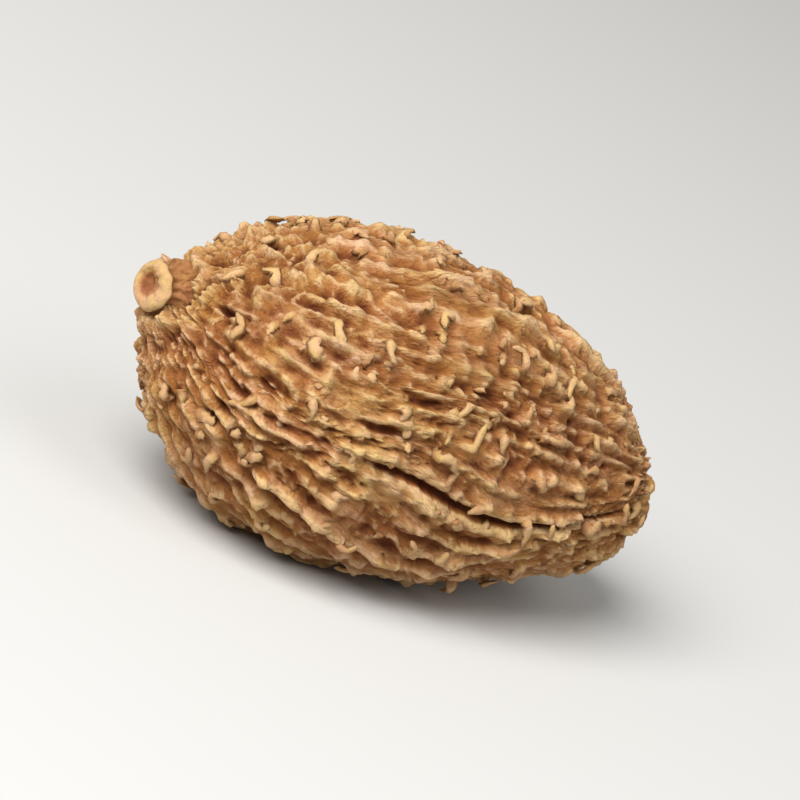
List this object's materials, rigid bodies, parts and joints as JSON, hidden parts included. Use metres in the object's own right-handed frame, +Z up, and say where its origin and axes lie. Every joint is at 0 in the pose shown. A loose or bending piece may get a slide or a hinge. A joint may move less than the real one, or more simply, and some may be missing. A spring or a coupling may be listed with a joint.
{
  "type": "dried amomum villosum pod",
  "caption": "Dried amomum villosum fruit: a ridged oval husk with short curled spines, a hollow stalk stub and a calyx scar. It lies on its side and is picked up or poured.",
  "frame": {"origin": "under the middle of the bounding box, on the surface that the pod lies on", "axes": "+Z up, +X along the pod from the stalk stub to the calyx scar, -Y towards the side that the picture shows"},
  "size_m": [0.0214, 0.0118, 0.0115],
  "materials": {
    "dried_husk": "dry, fibrous and dull, tan on the crests and darker brown between the ridges"
  },
  "bodies": {
    "root": {"pod": "dried_husk"}
  },
  "joints": []
}
